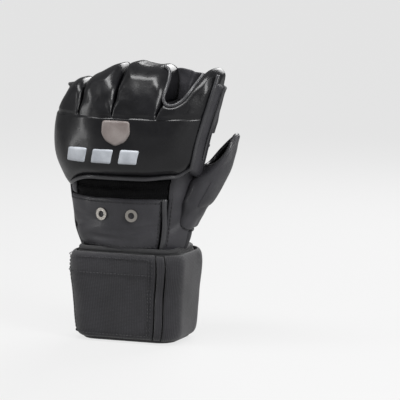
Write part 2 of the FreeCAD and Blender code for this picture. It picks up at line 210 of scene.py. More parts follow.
def piece(name, points, faces, paints, uv=None, choice=None):
    mesh = bpy.data.meshes.new(name)
    mesh.from_pydata((np.asarray(points, float) * MM).tolist(), [], faces)
    for paint in paints:
        mesh.materials.append(paint)
    if uv is not None:
        mesh.uv_layers.new(name="UVMap").data.foreach_set("uv", (np.asarray(uv) * MM).ravel())
    if choice is not None:
        mesh.polygons.foreach_set("material_index", choice)
    mesh.polygons.foreach_set("use_smooth", [True] * len(faces))
    mesh.update()
    made = bpy.data.objects.new(name, mesh)
    bpy.context.scene.collection.objects.link(made)
    return made


def settle(made, *steps):
    """Adds modifiers and makes their result the piece's own mesh."""
    for kind, values in steps:
        modifier = made.modifiers.new(kind.lower(), kind)
        for key, value in values.items():
            setattr(modifier, key, value)
    bpy.context.view_layer.update()
    graph = bpy.context.evaluated_depsgraph_get()
    mesh = bpy.data.meshes.new_from_object(made.evaluated_get(graph))
    made.modifiers.clear()
    made.data = mesh
    mesh.name = made.name
    return made


def along(rows, place):
    """Smooth values between rows whose first number is the place."""
    rows = np.asarray(rows, float)
    knots, values = rows[:, 0], rows[:, 1:]
    slopes = np.gradient(values, knots, axis=0)
    place = np.clip(np.asarray(place, float), knots[0], knots[-1])
    index = np.clip(np.searchsorted(knots, place) - 1, 0, len(knots) - 2)
    step = (knots[index + 1] - knots[index])[..., None]
    t = (place - knots[index])[..., None] / step
    return ((1 + 2 * t) * (1 - t) ** 2 * values[index] + t * (1 - t) ** 2 * step * slopes[index]
            + t * t * (3 - 2 * t) * values[index + 1] + t * t * (t - 1) * step * slopes[index + 1])


def smooth(value):
    value = np.clip(value, 0, 1)
    return value * value * (3 - 2 * value)


def round_off(distance, radius):
    """0 at an edge and 1 a radius inside it, along a quarter circle."""
    return np.sqrt(1 - (1 - np.clip(distance / radius, 0, 1)) ** 2)


def normals(points, closed=False):
    if closed:
        wrapped = np.concatenate([points[-1:], points, points[:1]])
        first = (wrapped[2:] - wrapped[:-2]) / 2
    else:
        first = np.gradient(points, axis=0)
    second = np.gradient(points, axis=1)
    made = np.cross(first, second)
    return made / np.maximum(np.linalg.norm(made, axis=-1, keepdims=True), 1e-9)


def ripple(points, size, depth, seed=0.0, closed=False):
    """Moves a grid of points in and out along its normals by smooth noise."""
    flat = points.reshape(-1, 3) / size + seed
    drift = np.array([noise.noise(Vector(p)) for p in flat]).reshape(points.shape[:-1])
    return points + normals(points, closed) * (drift * depth)[..., None]


def grid_faces(points, closed, skip=None):
    """Faces and their flat lengths for a grid whose first index runs round and whose second runs up."""
    count, rows = points.shape[:2]
    ahead = np.roll(points, -1, axis=0) if closed else points[1:]
    here = points if closed else points[:-1]
    round_length = np.concatenate([[0], np.cumsum(np.linalg.norm(ahead - here, axis=-1)[:, rows // 2])])
    column = points[count // 2]
    up_length = np.concatenate([[0], np.cumsum(np.linalg.norm(column[1:] - column[:-1], axis=-1))])
    faces, flat = [], []
    for i in range(count if closed else count - 1):
        after = (i + 1) % count
        for j in range(rows - 1):
            if skip is not None and skip(i, j):
                continue
            faces.append((i * rows + j, after * rows + j, after * rows + j + 1, i * rows + j + 1))
            flat += [(round_length[i], up_length[j]), (round_length[i + 1], up_length[j]),
                     (round_length[i + 1], up_length[j + 1]), (round_length[i], up_length[j + 1])]
    return faces, flat


def cloth(name, points, thick, paint, closed=False, skip=None):
    """A sheet with that thickness below its grid of points, its edges rounded by subdivision."""
    faces, flat = grid_faces(points, closed, skip)
    made = piece(name, points.reshape(-1, 3), faces, [paint], flat)
    return settle(made, ("SOLIDIFY", {"thickness": thick * MM, "offset": -1.0}), SUBDIVIDE)


def pillow(name, front, back, height, paints):
    """A closed pad between two grids that meet where height is 0."""
    top = back + (front - back) * height[..., None]
    count, rows = height.shape
    faces, flat = grid_faces(top, False)
    inner = np.arange(count * rows).reshape(count, rows)
    under = inner.copy()
    within = (count - 2) * (rows - 2)
    under[1:-1, 1:-1] = count * rows + np.arange(within).reshape(count - 2, rows - 2)
    points = np.concatenate([top.reshape(-1, 3), back[1:-1, 1:-1].reshape(-1, 3)])
    under = under.tolist()
    below = [(under[i][j], under[i][j + 1], under[i + 1][j + 1], under[i + 1][j])
             for i in range(count - 1) for j in range(rows - 1)]
    choice = [0] * len(faces) + [len(paints) - 1] * len(below)
    made = piece(name, points, faces + below, paints, flat + [(0, 0)] * (4 * len(below)), choice)
    return settle(made, SUBDIVIDE)


def curve_through(points, count, closed=False):
    """Evenly spaced points on a smooth curve through the given ones."""
    points = np.asarray(points, float)
    if closed:
        points = np.concatenate([points, points[:1]])
    gaps = np.linalg.norm(points[1:] - points[:-1], axis=1)
    place = np.concatenate([[0], np.cumsum(gaps)])
    if closed:
        rows = np.concatenate([points[-3:-1], points, points[1:3]])
        total = place[-1]
        knots = np.concatenate([place[-3:-1] - total, place, place[1:3] + total])
    else:
        rows, knots = points, place
    table = np.column_stack([knots, rows])
    fine = along(table, np.linspace(0, place[-1], 16 * count))
    length = np.concatenate([[0], np.cumsum(np.linalg.norm(fine[1:] - fine[:-1], axis=1))])
    wanted = np.linspace(0, length[-1], count, endpoint=not closed)
    return np.column_stack([np.interp(wanted, length, fine[:, k]) for k in range(points.shape[1])])


def tube(name, path, radius, paint, closed=False):
    """A round roll along a path."""
    sides = 10
    path = np.asarray(path, float)
    count = len(path)
    ahead = np.roll(path, -1, 0) - np.roll(path, 1, 0) if closed else np.gradient(path, axis=0)
    ahead /= np.linalg.norm(ahead, axis=1, keepdims=True)
    out = np.zeros_like(path)
    side = np.cross(ahead[0], (0.31, 0.57, 0.76))
    for k in range(count):
        side = side - ahead[k] * (side @ ahead[k])
        side /= np.linalg.norm(side)
        out[k] = side
    other = np.cross(ahead, out)
    angle = np.linspace(0, 2 * math.pi, sides, endpoint=False)
    grid = (path[None] + radius * np.cos(angle)[:, None, None] * out[None]
            + radius * np.sin(angle)[:, None, None] * other[None])
    faces, uv = grid_faces(grid, True)
    if closed:
        last = count - 1
        for i in range(sides):
            after = (i + 1) % sides
            faces.append((i * count + last, after * count + last, after * count, i * count))
            uv += [(0, 0), (1, 0), (1, 1), (0, 1)]
    else:
        faces.append(tuple(i * count for i in reversed(range(sides))))
        faces.append(tuple(i * count + count - 1 for i in range(sides)))
        uv += [(0, 0)] * (2 * sides)
    made = piece(name, grid.reshape(-1, 3), faces, [paint], uv)
    return settle(made, SUBDIVIDE)


def stitches(name, lines, pitch=3.4, length=2.5, radius=0.42):
    """Separate thread stitches laid along each line of points."""
    points, faces = [], []
    profile = ((-0.5, 0.25), (-0.36, 0.85), (0.0, 1.0), (0.36, 0.85), (0.5, 0.25))
    for line in lines:
        line = np.asarray(line, float)
        gone = np.concatenate([[0], np.cumsum(np.linalg.norm(line[1:] - line[:-1], axis=1))])
        for middle in np.arange(pitch / 2, gone[-1], pitch):
            ends = [np.array([np.interp(middle + k * length, gone, line[:, c]) for c in range(3)])
                    for k in (-0.5, 0.5)]
            way = ends[1] - ends[0]
            way /= max(np.linalg.norm(way), 1e-9)
            side = np.cross(way, (0.3, 0.5, 0.81))
            side /= np.linalg.norm(side)
            up = np.cross(way, side)
            start = len(points)
            for place, wide in profile:
                centre = (ends[0] + ends[1]) / 2 + way * place * length
                for k in range(6):
                    turn = k * math.pi / 3
                    points.append(centre + radius * wide * (side * math.cos(turn) + up * math.sin(turn)))
            end = start + (len(profile) - 1) * 6
            for ring in range(start, end, 6):
                for k in range(6):
                    a, b = ring + k, ring + (k + 1) % 6
                    faces.append((a, b, b + 6, a + 6))
            faces.append(tuple(start + k for k in reversed(range(6))))
            faces.append(tuple(end + k for k in range(6)))
    corners = sum(len(face) for face in faces)
    flat = [(0.2 * (k % 4), 0.3 * (k % 3)) for k in range(corners)]
    return piece(name, points, faces, [THREAD], flat)


def patch(name, outline, centre, front, back, radius, paints, bound=None, rings=15, rough=0.0):
    """A padded shape with a free outline in X and Z, lying between two depth functions. Its edge is
    rounded by radius, a number or a function of place, but not below the height bound, where it is
    sewn on."""
    outline = np.asarray(outline, float)
    centre = np.asarray(centre, float)
    free = outline if bound is None else outline[outline[:, 1] > bound]
    share = 1 - (1 - np.linspace(0, 1, rings + 1)[1:]) ** 1.9
    count = len(outline)
    points, under = [], []
    for s in share:
        spot = centre + s * (outline - centre)
        away = np.linalg.norm(spot[:, None] - free[None], axis=2).min(1)
        reach = radius(spot[:, 0], spot[:, 1]) if callable(radius) else radius
        deep, near = back(spot[:, 0], spot[:, 1]), front(spot[:, 0], spot[:, 1])
        if rough:
            drift = [noise.noise(Vector((x / 9, z / 9, 3.7))) for x, z in spot]
            near = near + rough * np.array(drift)
        inward = 1.0 if near.mean() < deep.mean() else -1.0
        drop = reach * (1 - round_off(np.maximum(away - 0.2, 0), reach))
        drop = np.minimum(drop, np.abs(deep - near) * 0.92) if s < 1 else np.abs(deep - near)
        points.append(np.column_stack([spot[:, 0], near + inward * drop, spot[:, 1]]))
        under.append(np.column_stack([spot[:, 0], deep, spot[:, 1]]))
    poles = [np.array([[centre[0], side(centre[:1], centre[1:])[0], centre[1]]])
             for side in (front, back)]
    points = np.concatenate(points + [poles[0]] + under[:-1] + [poles[1]])
    top_pole = rings * count
    low_start = top_pole + 1
    low_pole = low_start + (rings - 1) * count
    faces, choice, flat = [], [], []

    def put(face, kind):
        faces.append(face)
        choice.append(kind)
        flat.extend((points[k][0], points[k][2]) for k in face)

    last = len(paints) - 1
    for k in range(count):
        n = (k + 1) % count
        put((top_pole, k, n), 0)
        put((low_pole, low_start + n, low_start + k), last)
        for ring in range(rings - 1):
            a, b = ring * count, (ring + 1) * count
            put((a + k, b + k, b + n, a + n), 0)
            c = low_start + a
            d = low_start + b if ring < rings - 2 else b
            put((c + k, c + n, d + n, d + k), last)
    made = piece(name, points, faces, paints, flat, choice)
    return settle(made, SUBDIVIDE)


def stands(made, body, slot, *replaced, blend=None):
    """Attaches a piece to its body, or bakes its transform in place when it blends, and hides the CAD nodes
    it stands for. The slot is not used.
    """
    if blend:
        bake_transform(made)
    else:
        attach(made, body)
    if replaced:
        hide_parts(*replaced)
    return made


# ---- forms ----

# height, middle x, middle y, half width, half depth
HAND = ((70, -2, 0, 42, 25), (76, -2, 0, 44.5, 26.5), (83, -2.3, 0, 47.5, 28), (100, -2.5, 0, 50.5, 28),
        (113, -2.5, 0, 52.5, 28), (128, -2, 0, 54, 27), (150, 2, 0, 57, 25), (184, 5, 0, 60, 22))
# height, middle x, middle y, half width at the little finger, half width at the thumb, half depth
PAD = ((120, 2, -8, 53, 50, 31), (132, 2, -8, 59, 57, 36.5), (145, 2, -8, 63.5, 62.5, 42),
       (165, 2, -8, 66.8, 68, 43.5), (184, 2, -8, 63.8, 74, 41), (200, 2, -8, 57.5, 79, 36),
       (216, 2, -7, 50, 83, 28.5), (234, 2, -6, 40, 84, 17))
BLUNT_LEFT, BLUNT_RIGHT = 2.15, 2.6


def hand_at(angle, height, out=0.0):
    angle, height, out = np.broadcast_arrays(np.radians(angle), height, out)
    row = along(HAND, height)
    return np.stack([row[..., 0] + (row[..., 2] + out) * np.cos(angle),
                     row[..., 1] + (row[..., 3] + out) * np.sin(angle), height], -1)


def pad_at(angle, height, out=0.0):
    angle, height, out = np.broadcast_arrays(np.radians(angle), height, out)
    row = along(PAD, height)
    c, s = np.cos(angle), np.sin(angle)
    wide = np.where(c < 0, row[..., 2], row[..., 3])
    power = 2 / np.where(c < 0, BLUNT_LEFT, BLUNT_RIGHT)
    return np.stack([row[..., 0] + (wide + out) * np.sign(c) * np.abs(c) ** power,
                     row[..., 1] + (row[..., 4] + out) * np.sign(s) * np.abs(s) ** power, height], -1)


def pad_front(x, z, out=0.0):
    """How far forward the pad's face is at a place seen from the front."""
    row = along(PAD, z)
    across = x - row[..., 0]
    wide = np.where(across < 0, row[..., 2], row[..., 3]) + out
    blunt = np.where(across < 0, BLUNT_LEFT, BLUNT_RIGHT)
    inside = 1 - np.clip(np.abs(across) / wide, 0, 0.995) ** blunt
    return row[..., 1] - (row[..., 4] + out) * inside ** (1 / blunt)


def palm_face(x, z, out=0.0):
    row = along(HAND, z)
    inside = 1 - np.clip(np.abs(x - row[..., 0]) / (row[..., 2] + out), 0, 0.99) ** 2
    return row[..., 1] + (row[..., 3] + out) * np.sqrt(inside)


def spread(count, rows):
    return np.meshgrid(np.linspace(0, 1, count), np.linspace(0, 1, rows), indexing="ij")


def between(first, last, share):
    return first + (last - first) * share


# ---- cuff ----

# height, half width, half depth
CUFF = ((0, 42.5, 28), (5, 44.5, 29.6), (15, 46, 30.6), (26, 46.6, 31), (40, 47.4, 31.6), (53, 49, 32.4),
        (63, 49.4, 32.4), (70, 48.6, 31.8), (75, 47, 30.6))
CORNER = 16
LONG_RUN, SHORT_RUN = 64.0, 32.0
ROUND = 2 * math.pi * CORNER / 4
# where each straight and each corner of the outline ends, round from the middle of the back face
TURNS = [float(turn) for turn in np.cumsum((LONG_RUN / 2, ROUND, SHORT_RUN, ROUND, LONG_RUN, ROUND,
                                            SHORT_RUN, ROUND, LONG_RUN / 2))]


def cuff_at(gone, height, inward=0.0):
    """A point of the cuff's wall. The way gone is measured on the 48 by 32 outline from the middle of
    the back face towards the thumb, in millimetres."""
    gone, height, inward = np.broadcast_arrays(np.asarray(gone, float) % TURNS[-1], height, inward)
    row = along(CUFF, height)
    wide, deep = row[..., 0] - inward, row[..., 1] - inward
    corner = CORNER - inward * 0.9
    flat_x, flat_y = wide - corner, deep - corner
    x, y, middle = np.zeros_like(gone), np.zeros_like(gone), np.zeros_like(gone)
    straights = ((0.0, TURNS[0], (middle, -deep), (flat_x, -deep)),
                 (TURNS[1], TURNS[2], (wide, -flat_y), (wide, flat_y)),
                 (TURNS[3], TURNS[4], (flat_x, deep), (-flat_x, deep)),
                 (TURNS[5], TURNS[6], (-wide, flat_y), (-wide, -flat_y)),
                 (TURNS[7], TURNS[8], (-flat_x, -deep), (middle, -deep)))
    for low, high, first, last in straights:
        part, share = (gone >= low) & (gone < high), (gone - low) / (high - low)
        x = np.where(part, between(first[0], last[0], share), x)
        y = np.where(part, between(first[1], last[1], share), y)
    for number, (side_x, side_y, first) in enumerate(((1, -1, -90), (1, 1, 0), (-1, 1, 90), (-1, -1, 180))):
        low, high = TURNS[2 * number], TURNS[2 * number + 1]
        part = (gone >= low) & (gone < high)
        turn = np.radians(first + 90 * (gone - low) / ROUND)
        x = np.where(part, side_x * flat_x + corner * np.cos(turn), x)
        y = np.where(part, side_y * flat_y + corner * np.sin(turn), y)
    return np.stack([x, y, height], -1)


SIDE_START, SIDE_END, TIP_START = 37.0, 110.0, 30.5
WRAP_END = TURNS[-1] + TIP_START - 0.8
STRAP_LOW, STRAP_HIGH = 2.0, 73.0
PALM_BLEND = ("strap_side", (30, 32, 37), (47, 22, 37))
BACK_BLEND = ("strap_tip", (44, -25, 37), (35, -32, 37))


def band_of(name, first, last, low, high, inward, thick, paint, count, body, slot, replaced,
            blend=None, bulge=0.0):
    """A length of strap between two places on the cuff's outline."""
    u, v = spread(count, 22)
    rim = round_off(np.minimum(v, 1 - v) * (high - low), 5.0)
    ends = round_off(np.minimum(u, 1 - u) * (last - first), 3.0)
    points = cuff_at(between(first, last, u), between(low, high, v), inward + 0.8 - 0.8 * rim)
    points = points + normals(points) * (bulge * ends * rim)[..., None]
    points = ripple(points, 26.0, 0.9, 4.0)
    made = cloth(name, points, thick, paint)
    return stands(made, body, slot, *replaced, blend=blend)


u, v = spread(120, 26)
core = cuff_at(between(0, TURNS[-1], u[:-1]), between(1.0, 74.0, v[:-1]), 4.6)
core = ripple(core, 22.0, 0.6, 1.0, closed=True)
cuff_body = stands(cloth("cuff_body", core, 5.2, SHELL, closed=True), "hand", "band", "cuff_shell",
                   "cuff_wrap", "cuff_lining")
for name, height, inward, radius, node in (("cuff_top_roll", 74.0, 6.6, 2.6, "cuff_top"),
                                           ("cuff_hem_roll", 2.6, 5.6, 2.6, "cuff_hem")):
    path = cuff_at(np.linspace(0, TURNS[-1], 90, endpoint=False), height, inward)
    stands(tube(name, path, radius, BINDING, closed=True), "hand", "binding", node)

strap_wrap = band_of("strap_wrap", SIDE_END + 0.6, WRAP_END, STRAP_LOW, STRAP_HIGH, 0.5, 2.4, BAND, 110,
                     "hand", "band", ["wrist_strap"], bulge=0.9)
strap_side = band_of("strap_side", SIDE_START + 0.4, SIDE_END, STRAP_LOW, STRAP_HIGH, 0.0, 2.4, BAND, 44,
                     "hand", "band", ["strap_side_band"], PALM_BLEND, bulge=0.6)
strap_tip = band_of("strap_tip", TIP_START, SIDE_START, STRAP_LOW + 0.5, STRAP_HIGH - 0.5, -0.6, 2.8, BAND,
                    12, "strap_side", "band", ["strap_tip_band", "strap_pull"], BACK_BLEND, bulge=0.5)
loop_field = band_of("loop_field", 25.0, 103.0, 10, 64, 3.6, 0.9, LOOP, 50, "hand", "loop",
                     ["loop_patch"])
hook_side = band_of("hook_side", SIDE_START + 1, 104.0, 11, 63, 2.5, 0.8, HOOK, 44, "hand", "hook",
                    ["strap_hook"], PALM_BLEND)
hook_tip = band_of("hook_tip", TIP_START + 1, SIDE_START - 0.4, 11, 63, 2.5, 0.8, HOOK, 8, "strap_side",
                   "hook", ["strap_tip_hook"], BACK_BLEND)

# ---- panels of the hand ----


def panel(name, angles, heights, out, thick, paint, count, rows, bulge=0.0, folds=(), crease=5.0,
          depth=0.8, seed=0.0):
    """A leather or cloth panel laid on the hand, crowned between its seams."""
    u, v = spread(count, rows)
    angle = between(*angles, u)
    low, high = (h(angle) if callable(h) else h for h in heights)
    height = between(low, high, v)
    width = abs(angles[1] - angles[0]) * 0.8
    edge = round_off(np.minimum(v, 1 - v) * np.abs(high - low), crease)
    edge = edge * round_off(np.minimum(u, 1 - u) * width, crease)
    lift = out + bulge * edge
    for turn, level, tilt, long, wide, deep in folds:
        away = (height - level - tilt * (angle - turn)) / wide
        lift = lift - deep * np.exp(-away ** 2) * np.exp(-((angle - turn) / long) ** 2)
    points = ripple(hand_at(angle, height, lift), 17.0, depth, seed)
    return cloth(name, points, thick, paint)


back_panel = panel("back_panel", (178, 313), (71, 116.5), -1.9, 1.8, PANEL, 90, 40, bulge=1.8,
                   folds=((205, 92, 0.12, 30, 3.0, 1.5), (255, 84, -0.03, 26, 2.6, 1.4),
                          (292, 92, 0.16, 20, 2.4, 1.2), (225, 101, -0.12, 16, 2.2, 0.9),
                          (268, 90, 0.05, 20, 2.0, 0.9)), depth=0.7, seed=2.0)
stands(back_panel, "hand", "panel_leather", "back_panel")
side_back = panel("side_back", (317, 361), (71, 150), -0.6, 2.0, PANEL, 26, 40, bulge=1.4,
                  folds=((330, 96, 0.5, 14, 4, 1.2),), seed=5.0)
stands(side_back, "hand", "panel_leather")
u, v = spread(90, 22)
ribs = hand_at(between(176, 318, u), between(114, 135, v), -2.2 + 0.7 * np.cos(v * 5.5 * math.pi))
flex_band = cloth("flex_band", ripple(ribs, 9.0, 0.8, 8.0), 1.2, MESH)
stands(flex_band, "hand", "mesh", "flex_band")
roll = np.array([hand_at(315 - 2.5 * smooth((z - 92) / 24), z, 1.6)
                 for z in np.linspace(72, 117, 30)])
stands(tube("back_roll", roll, 2.2, PIPING), "hand", "binding", "back_roll")

palm_main = panel("palm_main", (64, 190), (71, 187), 0.0, 2.0, PALM, 90, 70, bulge=1.4,
                  folds=((150, 168, 0.03, 22, 3.5, 1.5), (100, 170, 0.0, 24, 3.2, 1.2),
                         (165, 120, 0.18, 16, 5.0, 1.6), (160, 142, -0.15, 16, 5.0, 1.4),
                         (88, 118, 0.45, 12, 4.0, 1.0)), depth=1.3, seed=11.0)
stands(palm_main, "hand", "palm_leather", "palm_panel")
palm_heel = panel("palm_heel", (-9, 63), (71, 90), 0.0, 2.0, PALM, 50, 16, bulge=1.4, seed=14.0)
stands(palm_heel, "hand", "palm_leather")
palm_top = panel("palm_top", (-9, 63), (158, 187), 0.0, 2.0, PALM, 50, 18, bulge=1.6, seed=17.0)
stands(palm_top, "hand", "palm_leather", "index_side_panel")
side_left = panel("side_left", (176, 214), (117, 184), -0.8, 2.0, PANEL, 22, 40, bulge=0.6, seed=19.0)
stands(side_left, "hand", "panel_leather", "knuckle_panel")

LINING_ROUND, LINING_ROWS = 110, 40
LINING_LOW, LINING_HIGH = 70, 183
u, v = spread(LINING_ROUND, LINING_ROWS)
lining_points = hand_at(between(0, 360, u[:-1]), between(LINING_LOW, LINING_HIGH, v[:-1]), -3.2)
lining_points = ripple(lining_points, 20.0, 0.5, 7.0, closed=True)


def over_window(i, j):
    angle = 360 * (i + 0.5) / LINING_ROUND
    height = LINING_LOW + (LINING_HIGH - LINING_LOW) * (j + 0.5) / (LINING_ROWS - 1)
    on_palm = (angle < 66 or angle > 356) and 88 < height < 158
    at_thumb = (angle < 60 or angle > 334) and 96 < height < 152
    return on_palm or at_thumb


hand_lining = cloth("hand_lining", lining_points, 1.2, LINING, closed=True, skip=over_window)
stands(hand_lining, "hand", "lining", "hand_lining")

window = [(-2, 90), (30, 90), (52, 91.5), (61, 98), (64, 110), (64, 138), (61, 151), (50, 157.5),
          (28, 158.5), (-2, 158.5)]
window_path = np.array([hand_at(a, z, 0.6) for a, z in curve_through(window, 90)])
stands(tube("window_roll", window_path, 2.0, BINDING), "hand", "binding", "palm_binding")

TONGUE_MIDDLE = (-17, 124)
tongue = curve_through([(2, 140), (0, 147), (-5, 152.5), (-12.5, 154.5), (-20, 152.5), (-25.5, 147),
                        (-28, 140), (-31, 128), (-34.5, 114), (-37.5, 102), (-37, 97.5), (-33, 96),
                        (-23, 96), (-13, 96), (-9, 97.5), (-7.5, 102), (-4.5, 114), (-1, 128)],
                       120, closed=True)
grip = patch("palm_grip", tongue, TONGUE_MIDDLE, lambda x, z: palm_face(x, z, 4.6),
             lambda x, z: palm_face(x, z, 0.8), 5.0, [PALM], rough=0.5)
stands(grip, "hand", "palm_leather", "palm_grip")
outer_arc = curve_through([(-46, 96), (-39, 122), (-34, 146), (-25, 157), (-12, 161.5), (2, 157),
                           (9, 146), (6, 124), (1, 97)], 80)
arc_path = np.array([(x, float(palm_face(x, z, 1.2)), z) for x, z in outer_arc])
stands(tube("palm_seam_roll", arc_path, 1.3, PALM), "hand", "palm_leather")
for name, low, high in (("palm_hem_low", 76.5, 82.5), ("palm_hem_high", 86.5, 92.5)):
    strip = panel(name, (66, 176), (low, high), 1.6, 1.6, BAND, 60, 8, bulge=1.2, crease=2.4, depth=0.6)
    stands(strip, "hand", "band", *(["palm_hem"] if low < 80 else []))

# ---- knuckle pad ----

PAD_START, PIPE_ANGLE = 184, 335.0
PAD_TOP = 185.2


def pad_low(angle):
    return (132.5 - 9 * smooth((250 - angle) / 55) + 2.0 * smooth((angle - 285) / 30)
            + 6.0 * np.clip((angle - 318) / 17, 0, 1) ** 2)


u, v = spread(130, 64)
angle = between(PAD_START, PIPE_ANGLE, u)
low = pad_low(angle)
height = between(low, PAD_TOP, v)
front = pad_at(angle, height)
front = ripple(front, 24.0, 1.5, 21.0)
back = hand_at(angle, height, 0.8)
puff = round_off((height - low), between(8.0, 12.0, smooth((angle - 200) / 50)))
puff = puff * np.maximum(round_off((PAD_TOP - height), 2.5), 0.965 * (v < 1))
puff = puff * round_off(u * (PIPE_ANGLE - PAD_START), 12.0)
puff = puff * np.maximum(round_off((1 - u) * (PIPE_ANGLE - PAD_START), 2.5), 0.9 * (u < 1))
puff = puff * ((u > 0) & (u < 1) & (v > 0) & (v < 1))
pad_cover = pillow("pad_cover", front, back, puff, [GLOSS, LINING])
stands(pad_cover, "hand", "gloss_leather", "knuckle_cover", "knuckle_foam", "pad_backing")

INDEX_BLEND = ("index", (58, 14, 184), (62, 14, 202))
u, v = spread(30, 70)
angle = between(PIPE_ANGLE + 0.5, 361, u)
low = 137 - 6 * u
height = between(low, 217.0 - 9 * u, v)
front = ripple(pad_at(angle, height, -0.8), 20.0, 1.0, 24.0)
HAND_TOP, SIDE_HIGH, SIDE_WIDE = 184, 70, 40
back = (hand_at(angle, np.minimum(height, HAND_TOP), 0.8) * (1, 1, 0)
        + np.stack([0 * u, 0 * u, height], -1))
back = back + (np.maximum(height - HAND_TOP, 0) * 0.27)[..., None] * (1, 0, 0)
puff = round_off(v * SIDE_HIGH, 6.0) * round_off((1 - v) * SIDE_HIGH, 8.0)
puff = puff * np.maximum(round_off(u * SIDE_WIDE, 2.5), 0.9 * (u > 0))
puff = puff * round_off((1 - u) * SIDE_WIDE, 6.0)
puff = puff * ((u > 0) & (u < 1) & (v > 0) & (v < 1))
pad_side = pillow("pad_side", front, back, puff, [PANEL, LINING])
stands(pad_side, "hand", "panel_leather", blend=INDEX_BLEND)

low_path = [pad_at(a, pad_low(a) + 2.2, -3.0) for a in np.linspace(203, 331, 90)]
corner = pad_low(331) + 2.0
side_path = [pad_at(PIPE_ANGLE + 0.3, z, 0.5) for z in np.linspace(corner + 5, 218, 60)]
path = curve_through(low_path + side_path, 170)
stands(tube("pad_piping", path, 1.7, PIPING), "hand", "binding", "pad_piping", blend=INDEX_BLEND)
side_line = np.array([pad_at(351, z, 0.2) for z in np.linspace(150, 209, 50)])
stands(tube("side_piping", side_line, 1.0, PIPING), "hand", "binding", blend=INDEX_BLEND)


def on_pad(lift):
    return lambda x, z: pad_front(x, z, lift)


def blunted(corners, radius, count):
    """Evenly spaced points round a straight-sided shape with rounded corners."""
    corners = np.asarray(corners, float)
    line = []
    for before, corner, after in zip(np.roll(corners, 1, 0), corners, np.roll(corners, -1, 0)):
        first = corner + (before - corner) * radius / np.linalg.norm(before - corner)
        last = corner + (after - corner) * radius / np.linalg.norm(after - corner)
        line += [(1 - t) ** 2 * first + 2 * t * (1 - t) * corner + t * t * last
                 for t in np.linspace(0, 1, 7)]
    line = np.array(line + line[:1])
    gone = np.concatenate([[0], np.cumsum(np.linalg.norm(line[1:] - line[:-1], axis=1))])
    wanted = np.linspace(0, gone[-1], count, endpoint=False)
    return np.column_stack([np.interp(wanted, gone, line[:, k]) for k in (0, 1)])


def plate(name, outline, centre, paint, slot, node, top):
    made = patch(name, outline, centre, on_pad(top), on_pad(-0.6), 1.6, [paint], rings=10)
    return stands(made, "hand", slot, *node)


# the printed marks become a plain broken stripe with slanted ends and a plain shield
low, high, slant = 146.8, 158.8, 3.0
for number, (left, right) in enumerate(((-43, -21), (-18.5, 3), (5.5, 25))):
    block = blunted([(left, low), (right - slant, low), (right, high), (left + slant, high)], 1.6, 110)
    plate(f"pad_stripe_{number}", block, ((left + right) / 2, (low + high) / 2), PALE, "mark_pale",
          ["pad_bar"] if not number else [], 0.9)
badge = blunted([(-8, 181.5), (16, 181.5), (16.5, 171), (12.5, 165), (4, 161), (-4.5, 165), (-8.5, 171)],
                2.6, 110)
plate("pad_badge", badge, (4, 172), WARM, "mark_warm", ["pad_badge"], 1.0)

# ---- fingers ----

# base x, base height and tilt of each finger
FINGERS = {"pinky": (-43, 185.5, -12), "ring": (-13.5, 185, -6), "middle": (18.5, 185, -1),
           "index": (55, 187, 15)}
LEAN = math.radians(8)


def finger_point(name, x, y, z):
    """From a finger's own frame to the row frame."""
    base_x, base_z, tilt = FINGERS[name]
    tilt = math.radians(tilt)
    deep = y * math.cos(LEAN) + z * math.sin(LEAN)
    up = -y * math.sin(LEAN) + z * math.cos(LEAN)
    return np.stack([base_x + x * math.cos(tilt) + up * math.sin(tilt), deep,
                     base_z - x * math.sin(tilt) + up * math.cos(tilt)], -1)


def finger_blend(name):
    base_x, base_z, tilt = FINGERS[name]
    lean_x = math.sin(math.radians(tilt))
    return (name, (base_x, 14, base_z - 1), (base_x + 17 * lean_x, 14, base_z + 15))


def lobe_back(x, z):
    return -9.0 + 0.13 * np.maximum(z - 185, 0) + 0 * x


SEWN = PAD_TOP - 2.5
# outline of each padded lobe seen from the front, and a point inside it
LOBES = {
    "pinky": ([(-31.6, 187), (-31.2, 196), (-31.8, 205), (-34.5, 210.5), (-39, 211.5), (-44, 209),
               (-49, 204), (-53.5, 197.5), (-57.5, 190), (-60.5, SEWN)], (-43, 193)),
    "ring": ([(-0.7, 187), (-0.5, 198), (-0.7, 210), (-1.4, 219), (-4, 223.6), (-9, 223.2), (-15, 220.4),
              (-21, 217), (-26, 214.6), (-29.4, 210.5), (-30, 203), (-30.1, 194), (-30.2, SEWN)],
             (-14.5, 197)),
    "middle": ([(36.5, 187), (38.2, 192), (40.2, 198), (40.9, 206), (40.4, 214), (38.2, 220.6),
                (33, 223.6), (25, 223.2), (16, 224.4), (8, 225.8), (3.4, 224.4), (1.3, 218.5),
                (0.9, 208), (0.7, 197), (0.7, SEWN)], (20, 198)),
    "index": ([(71, 187), (74.2, 194), (76.8, 202), (79, 211), (79.3, 217.5), (76, 221.3), (71, 221.6),
               (66.6, 218.4), (63.2, 211), (59.4, 203.4), (54.5, 197.2), (49, 194.2), (44.6, 194.4),
               (41.4, 196.4), (39.4, 192.5), (37.6, 188.5), (36.8, SEWN)], (60, 189)),
}


def lobe_front(x, z):
    """The pad's face, sunk a little where the lobe runs under the main pad."""
    return pad_front(x, z, -0.7 + 0.7 * smooth((z - PAD_TOP + 1.0) / 3.0))


def lobe_edge(x, z):
    """Tight beside the narrow slots, and fuller towards the tops."""
    return 2.2 + 3.3 * smooth((z - 187) / 12) + 8.0 * smooth((z - 202) / 18)


